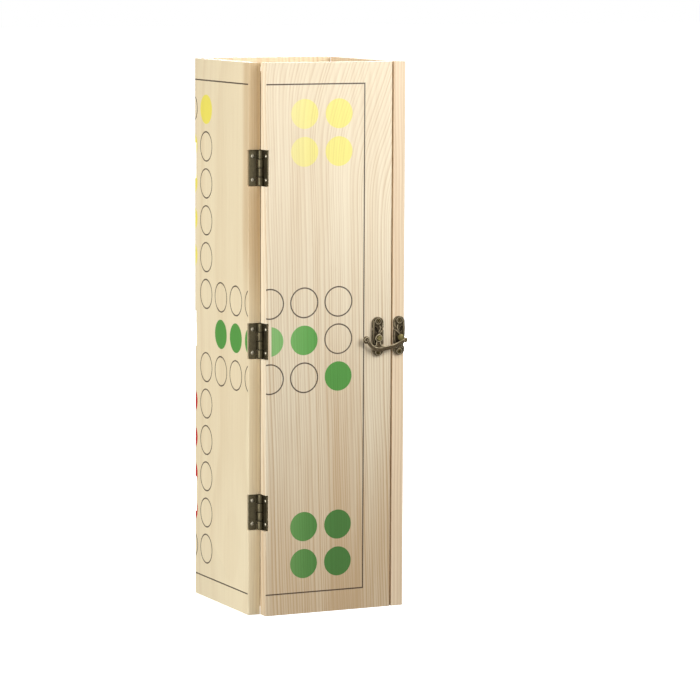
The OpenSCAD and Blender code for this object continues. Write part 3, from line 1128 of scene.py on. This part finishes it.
# The hook's middle line from its rivet, as (x, z), from the thumb end to the tip, with the
# bar's relative width at each point, and how far out the bar and its rim lie
HOOK_LINE = ((-9.3, -1.6), (-7.6, -3.6), (-5.2, -6.3), (-2.0, -8.0), (2.5, -8.1), (7.0, -7.5),
             (11.5, -6.3), (15.5, -4.8), (18.6, -3.3), (21.0, -2.3))
HOOK_WIDTHS = (0.8, 0.9, 1.05, 1.15, 1.2, 1.2, 1.1, 1.0, 0.85, 0.7)
HOOK_OUT = -3.3
HOOK_RIM_OUT = -3.8


def add_bar(points, radius, widths, flat=1.0):
    """A rounded bar along a smooth path; flat squeezes it from front to back."""
    only()
    bpy.ops.curve.primitive_nurbs_path_add()
    piece = bpy.context.active_object
    spline = piece.data.splines[0]
    spline.points.add(len(points) - len(spline.points))
    middle = sum(point[1] for point in points) / len(points)
    for knot, (x, y, z), width in zip(spline.points, points, widths):
        knot.co = (x * MM, (y - middle) * MM, z * MM, 1)
        knot.radius = width
    spline.order_u = 3
    spline.use_endpoint_u = True
    spline.resolution_u = 6
    piece.data.bevel_depth = radius * MM
    piece.data.bevel_resolution = 3
    piece.data.use_fill_caps = True
    bpy.ops.object.convert(target="MESH")
    piece.scale.y = flat
    piece.location.y = middle * MM
    return added()


def add_ring(middle, major, minor):
    """A round ring that lies flat on the front."""
    only()
    bpy.ops.mesh.primitive_torus_add(
        location=Vector(middle) * MM, rotation=(math.pi / 2, 0, 0), major_radius=major * MM,
        minor_radius=minor * MM, major_segments=32, minor_segments=12,
    )
    return added()


def add_drop(middle, size, turn=0):
    """A ball stretched to its half sizes, for a boss or for a hollow."""
    only()
    bpy.ops.mesh.primitive_uv_sphere_add(
        segments=24, ring_count=16, radius=1 * MM, location=Vector(middle) * MM,
        rotation=(0, math.radians(turn), 0), scale=size,
    )
    return added()


def add_curl(middle, start_radius, start, sweep, radius):
    """A bar that curls inwards in a spiral round its middle; angles in degrees."""
    x, y, z = middle
    shares = [step / 12 for step in range(13)]
    points = []
    for share in shares:
        angle = math.radians(start + sweep * share)
        out = start_radius * (1 - 0.72 * share)
        points.append((x + out * math.cos(angle), y, z + out * math.sin(angle)))
    return add_bar(points, radius, [1.0 - 0.35 * share for share in shares])


def cast(pieces, rounding):
    """Melts overlapping pieces into one casting with soft edges."""
    piece = join(pieces)
    apply_modifier(piece, "REMESH", mode="VOXEL", voxel_size=RELIEF, use_smooth_shade=True)
    return apply_modifier(piece, "SMOOTH", factor=0.5, iterations=rounding)


def finish_casting(piece, place):
    """Marks a casting's curves, shades it and moves it from the origin to its place."""
    mark_curves(piece)
    shade(piece, 50)
    piece.location = place
    return settle(piece)


def plate_blank():
    """The flat outline of a latch plate, centred on the origin, with its back at Y = 0."""
    ends = [
        add_rod((0, 0, z * MM), (0, -PLATE_BASE, z * MM), PLATE_HALF * MM, 48) for z in (10, -9.2)
    ]
    blank = combine(*ends, "UNION")
    for half, low, high in PLATE_SLABS:
        slab = add_block((-half * MM, -PLATE_BASE, low * MM), (half * MM, 0, high * MM))
        combine(blank, slab, "UNION")
    for side in (-1, 1):
        for z, radius in ((5.6, 1.0), (-6, 1.1)):
            place = Vector((side * (PLATE_HALF + 0.25), 0, z)) * MM
            front, back = place - Vector((0, 5 * MM, 0)), place + Vector((0, MM, 0))
            combine(blank, add_rod(front, back, radius * MM, 24))
    return blank


def latch_plate(mirrored, post, post_bore):
    """One cast plate with its holes, for its nails and for the post at (x, z)."""
    plate = cast([
        plate_blank(),
        # A domed head with a ring round the upper nail
        add_drop((0, -1.1, 10.6), (3.7, 0.85, 3.4)),
        add_ring((0, -1.75, 11.3), 2.1, 0.42),
        *(add_bar(points, radius, widths) for radius, widths, points in PLATE_BARS),
        # The foot: a ring round the lower nail between two curls
        add_drop((0, -1.0, -9.6), (3.4, 0.8, 3.0)),
        add_ring((0, -1.65, NAIL_DOWN), 1.95, 0.38),
        add_curl((-2.5, -1.5, -7.3), 1.3, 60, -380, 0.36),
        add_curl((2.5, -1.5, -7.3), 1.3, 120, 380, 0.36),
    ], rounding=4)
    for (x, z), size, turn in PLATE_HOLLOWS:
        combine(plate, add_drop((x, -1.85, z), size, turn))
    if mirrored:
        plate.scale.x = -1
        turn_outwards(settle(plate))
    for x, z, radius in ((0, NAIL_UP, 0.75), (0, NAIL_DOWN, 0.75), (*post, post_bore)):
        ends = [Vector((x, y, z)) * MM for y in (-9, 9)]
        combine(plate, add_rod(*ends, radius * MM, 24))
    return plate


def plate_place(node):
    """The middle of a latch plate on the face that carries it."""
    low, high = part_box(node)
    return Vector(((low.x + high.x) / 2, high.y, MIDDLE_Z))


def beside(line, distance):
    """The points that lie a distance above a line, square to it."""
    points = []
    for index, (x, z) in enumerate(line):
        before, after = line[max(index - 1, 0)], line[min(index + 1, len(line) - 1)]
        run = Vector((after[0] - before[0], after[1] - before[1])).normalized()
        points.append((x - run.y * distance, z + run.x * distance))
    return points


def build_hook():
    """The hook with its raised rims and curled ends, its rivet's middle at the origin."""
    line = [(x, HOOK_OUT, z) for x, z in HOOK_LINE]
    rim = [(x, HOOK_RIM_OUT, z) for x, z in beside(HOOK_LINE, 1.05)]
    stem = [(0, HOOK_OUT, 0), (-0.3, HOOK_OUT, -2.5), (-0.4, HOOK_OUT, -4.4),
            (-0.2, HOOK_OUT, -6.2), (0.8, HOOK_OUT, -7.9)]
    stem_rim = [(1.5, -3.8, -1.6), (0.95, -3.85, -3.4), (1.5, -3.95, -4.9),
                (3.2, -3.95, -6.1), (6.5, -3.95, -6.3), (10.5, -3.9, -5.2)]
    thumb_rim = [(-1.5, -3.8, -1.6), (-1.7, -3.8, -3.2), (-2.0, -3.85, -4.5),
                 (-2.9, -3.9, -5.6), (-4.2, -3.9, -5.6)]
    hook = cast([
        add_bar(line, 1.25, HOOK_WIDTHS, flat=0.6),
        add_bar(rim, 0.45, HOOK_WIDTHS),
        add_rod((0, -2.45 * MM, 0), (0, -3.8 * MM, 0), 2.6 * MM, 40),
        add_ring((0, -3.85, 0), 2.4, 0.42),
        add_bar(stem, 1.4, [1, 0.9, 0.9, 1.1, 1.2], flat=0.5),
        add_bar(stem_rim, 0.42, [0.8, 1, 1, 1, 1, 0.9]),
        add_bar(thumb_rim, 0.36, [0.8, 1, 1, 1, 0.9]),
        add_drop((-9.7, -3.25, -0.9), (2.8, 0.75, 2.7)),
        add_curl((-9.7, -3.8, -0.9), 2.4, -50, 430, 0.5),
        add_drop((21.1, -3.25, -2.2), (1.9, 0.7, 1.9)),
        add_curl((21.1, -3.75, -2.2), 1.6, -120, -400, 0.42),
    ], rounding=3)
    return combine(hook, add_rod((0, 0, 0), (0, -9 * MM, 0), 1.05 * MM, 32))


def stud(node, stem_radius, head):
    """A turned stud on a latch plate; its head's profile is (radius, depth from its front)."""
    low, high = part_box(node)
    profile = [(0, high.y), (stem_radius * MM, high.y)]
    profile += [(radius * MM, low.y + depth * MM) for radius, depth in head]
    piece = spin_profile(profile, steps=48)
    piece.location = ((low.x + high.x) / 2, 0, (low.z + high.z) / 2)
    return shade(settle(piece), 40)


class BOTTLEBOX_OT_latch_plates(bpy.types.Operator):
    """Build the two cast latch plates, with their scrolls"""

    bl_idname = "bottle_box.latch_plates"
    bl_label = "Latch plates"

    def execute(self, context):
        material = bronze("cast_bronze")
        for node, post, post_bore, body, mirrored in (
            ("hook_plate", "hook_rivet", 1.06, "front_wall", False),
            ("catch_plate", "catch_knob", 1.36, "right_wall", True),
        ):
            place = plate_place(node)
            low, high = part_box(post)
            middle = ((low + high) / 2 - place) / MM
            plate = finish_casting(latch_plate(mirrored, middle.xz, post_bore), place)
            finish_piece(plate, f"{node}_cast", body, node, material)
        return {"FINISHED"}


class BOTTLEBOX_OT_latch_hook(bpy.types.Operator):
    """Build the cast hook with its raised rims and curled ends"""

    bl_idname = "bottle_box.latch_hook"
    bl_label = "Latch hook"

    def execute(self, context):
        low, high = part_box("hook_rivet")
        rivet = Vector(((low.x + high.x) / 2, plate_place("hook_plate").y, (low.z + high.z) / 2))
        hook = finish_casting(build_hook(), rivet)
        material = bronze("hook_bronze")
        finish_piece(hook, "latch_hook_cast", "latch_hook", "latch_hook", material)
        return {"FINISHED"}


class BOTTLEBOX_OT_latch_studs(bpy.types.Operator):
    """Build the rivet that carries the hook and the knob that catches it"""

    bl_idname = "bottle_box.latch_studs"
    bl_label = "Latch studs"

    def execute(self, context):
        material = bronze("stud_bronze")
        for node, body, stem_radius, head in (
            ("hook_rivet", "front_wall", 1.0, (
                (1.0, 0.92), (1.7, 0.9), (1.88, 0.74), (1.88, 0.5), (1.72, 0.22), (1.35, 0.05),
                (1.1, 0.02), (0.85, 0.2), (0.55, 0.34), (0, 0.36))),
            ("catch_knob", "right_wall", 1.3, (
                (1.3, 1.5), (1.55, 1.1), (2.2, 0.95), (2.38, 0.8), (2.38, 0.62), (2.2, 0.45),
                (1.9, 0.36), (1.6, 0.2), (1.1, 0.07), (0.55, 0.01), (0, 0))),
        ):
            piece = stud(node, stem_radius, head)
            finish_piece(piece, f"{node}_turned", body, node, material)
        return {"FINISHED"}


class BOTTLEBOX_OT_latch_nails(bpy.types.Operator):
    """Build the eyelet nails that hold the latch plates"""

    bl_idname = "bottle_box.latch_nails"
    bl_label = "Latch nails"

    def execute(self, context):
        material = bronze("nail_bronze")
        profile = [(0, 1.2), (0.55, 1.1), (0.62, -0.4), (0.95, -0.66), (1.2, -0.6), (1.38, -0.35),
                   (1.42, 0), (0.7, 0.02), (0.7, 7.9), (0, 9.2)]
        profile = [(out * MM, along * MM) for out, along in profile]
        master = shade(spin_profile(profile, steps=32), 45)
        for plate, body in (("hook_plate", "front_wall"), ("catch_plate", "right_wall")):
            seats = [plate_place(plate) + Vector((0, -1.32, z)) * MM for z in (NAIL_UP, NAIL_DOWN)]
            nails = join([place_copy(master, Matrix.Translation(seat)) for seat in seats])
            name, node = f"{plate}_eyelet_nails", f"{plate}_nails"
            finish_piece(nails, name, body, node, material)
        bpy.data.objects.remove(master)
        return {"FINISHED"}


# ---- Stage --------------------------------------------------------------------------

# Each softbox: its setting, its place, the point that it looks at and its size
SOFTBOXES = (
    ("key", (0.40, -0.56, 0.62), (0, -0.05, 0.30), (0.5, 0.5)),
    ("fill", (-1.5, -0.45, 0.3), (0, 0, 0.19), (1.6, 1.4)),
    ("back", (0.9, 1.4, 0.6), (0, 0, 0.22), (1.4, 1.0)),
)
FLOOR_SIZE = 30
FLOOR_DROP = 0.2 * MM


class BOTTLEBOX_OT_stage(bpy.types.Operator):
    """Set up the pale floor, the soft lights and the camera"""

    bl_idname = "bottle_box.stage"
    bl_label = "Stage"

    def execute(self, context):
        stage = settings().stage
        scene = context.scene
        scene.view_settings.view_transform = "Standard"
        scene.view_settings.look = "None"
        self.light_world(scene, stage.ambient)
        self.lay_floor()
        for name, place, target, size in SOFTBOXES:
            turn = (Vector(target) - Vector(place)).to_track_quat("-Z", "Y").to_euler()
            only()
            bpy.ops.object.light_add(type="AREA", location=place, rotation=turn)
            light = context.active_object
            light.name = f"{name}_light"
            light.data.shape = "RECTANGLE"
            light.data.size, light.data.size_y = size
            light.data.energy = getattr(stage, name)
        yaw, pitch, roll = stage.camera_turn
        turn = (
            Matrix.Rotation(-yaw, 3, "Z") @ Matrix.Rotation(math.pi / 2 - pitch, 3, "X")
            @ Matrix.Rotation(roll, 3, "Z")
        )
        only()
        bpy.ops.object.camera_add(location=stage.camera_place, rotation=turn.to_euler())
        camera = context.active_object
        camera.data.lens = stage.focal
        camera.data.sensor_width = 36
        camera.data.clip_end = 50
        scene.camera = camera
        return {"FINISHED"}

    def light_world(self, scene, ambient):
        """White behind the object, and a dimmer even light on it."""
        world = bpy.data.worlds.new("studio")
        scene.world = world
        world.use_nodes = True
        tree = world.node_tree
        # The light is stronger from above, and what the metal reflects is bright in front
        _, forward, up = parts_of(tree, add_node(tree, "TexCoord").outputs["Generated"])
        glow = up.ramp(-0.1, 0.8, 0.4, 1.9) * ambient
        shine = forward.ramp(0.6, -0.7, 0.3, 1.0)
        path = add_node(tree, "LightPath")
        seen, glossy = (Field(tree, path.outputs[f"Is {kind} Ray"]) for kind in ("Camera", "Glossy"))
        glow = glow + (shine - glow) * glossy
        strength = seen + glow * (1.0 - seen)
        fill(tree, tree.nodes["Background"], Color=WHITE, Strength=strength)

    def lay_floor(self):
        """A wide white floor that shows the object's soft shadow."""
        only()
        bpy.ops.mesh.primitive_grid_add(
            x_subdivisions=8, y_subdivisions=8, size=FLOOR_SIZE, location=(0, 0, -FLOOR_DROP)
        )
        floor = bpy.context.active_object
        floor.name = "studio_floor"
        material, tree, shader, coordinates = new_material("studio_white")
        tone = noise(tree, coordinates, scale=3.0).ramp(0, 1, 0.78, 0.80)
        fill(
            tree, shader, Base_Color=vector_of(tree, tone, tone, tone), Roughness=0.9,
            Emission_Color=WHITE, Emission_Strength=0.85,
        )
        floor.data.materials.append(material)
        floor.visible_diffuse = False
        floor.visible_glossy = False


# ---- The add-on ---------------------------------------------------------------------


class BOTTLEBOX_PT_panel(bpy.types.Panel):
    """Lists the pieces in the order in which they are built"""

    bl_idname = "BOTTLEBOX_PT_panel"
    bl_label = "Bottle Box"
    bl_space_type = "VIEW_3D"
    bl_region_type = "UI"
    bl_category = "Bottle Box"

    def draw(self, context):
        for operator in OPERATORS:
            self.layout.operator(operator.bl_idname)
        box = settings()
        for group in (box.boards, box.pattern, box.metal, box.stage):
            column = self.layout.column()
            for name in group.bl_rna.properties.keys()[2:]:
                column.prop(group, name)


OPERATORS = (
    BOTTLEBOX_OT_walls,
    BOTTLEBOX_OT_end_boards,
    BOTTLEBOX_OT_hinge_leaves,
    BOTTLEBOX_OT_hinge_pins,
    BOTTLEBOX_OT_hinge_screws,
    BOTTLEBOX_OT_latch_plates,
    BOTTLEBOX_OT_latch_hook,
    BOTTLEBOX_OT_latch_studs,
    BOTTLEBOX_OT_latch_nails,
    BOTTLEBOX_OT_stage,
)
CLASSES = (
    BoardSettings,
    PrintSettings,
    MetalSettings,
    StageSettings,
    BottleBoxSettings,
    *OPERATORS,
    BOTTLEBOX_PT_panel,
)


def register():
    for cls in CLASSES:
        bpy.utils.register_class(cls)
    bpy.types.Scene.bottle_box = PointerProperty(type=BottleBoxSettings)


def unregister():
    del bpy.types.Scene.bottle_box
    for cls in reversed(CLASSES):
        bpy.utils.unregister_class(cls)


def main():
    register()
    for operator in OPERATORS:
        group, name = operator.bl_idname.split(".")
        getattr(getattr(bpy.ops, group), name)()


if __name__ == "__main__":
    main()
